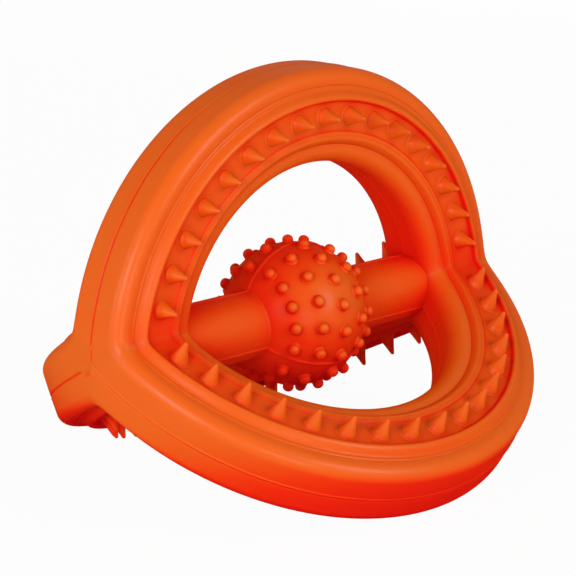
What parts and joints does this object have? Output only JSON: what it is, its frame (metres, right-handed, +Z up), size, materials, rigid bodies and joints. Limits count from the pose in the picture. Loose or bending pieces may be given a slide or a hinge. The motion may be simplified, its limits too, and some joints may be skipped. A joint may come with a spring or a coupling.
{
  "type": "rubber chew toy",
  "caption": "Solid rubber chew toy: three half rings, lined with cones on both faces, join at both ends and surround a bar that carries a studded ball.",
  "frame": {"origin": "on the ground under the middle of the ball", "axes": "+X along the bar through the ball, +Z up through the standing half ring, -Y towards the half ring at the front"},
  "size_m": [0.1512, 0.1328, 0.1175],
  "materials": {
    "orange_rubber": "smooth moulded natural rubber, soft satin sheen"
  },
  "bodies": {
    "root": {"upper_ring": "orange_rubber", "front_ring": "orange_rubber", "rear_ring": "orange_rubber", "upper_front_track": "orange_rubber", "upper_rear_track": "orange_rubber", "front_top_track": "orange_rubber", "front_under_track": "orange_rubber", "rear_top_track": "orange_rubber", "rear_under_track": "orange_rubber", "upper_front_cones": "orange_rubber", "upper_rear_cones": "orange_rubber", "front_top_cones": "orange_rubber", "front_under_cones": "orange_rubber", "rear_top_cones": "orange_rubber", "rear_under_cones": "orange_rubber", "left_bar": "orange_rubber", "right_bar": "orange_rubber", "ball": "orange_rubber", "front_studs": "orange_rubber", "under_studs": "orange_rubber", "rear_studs": "orange_rubber"}
  },
  "joints": []
}
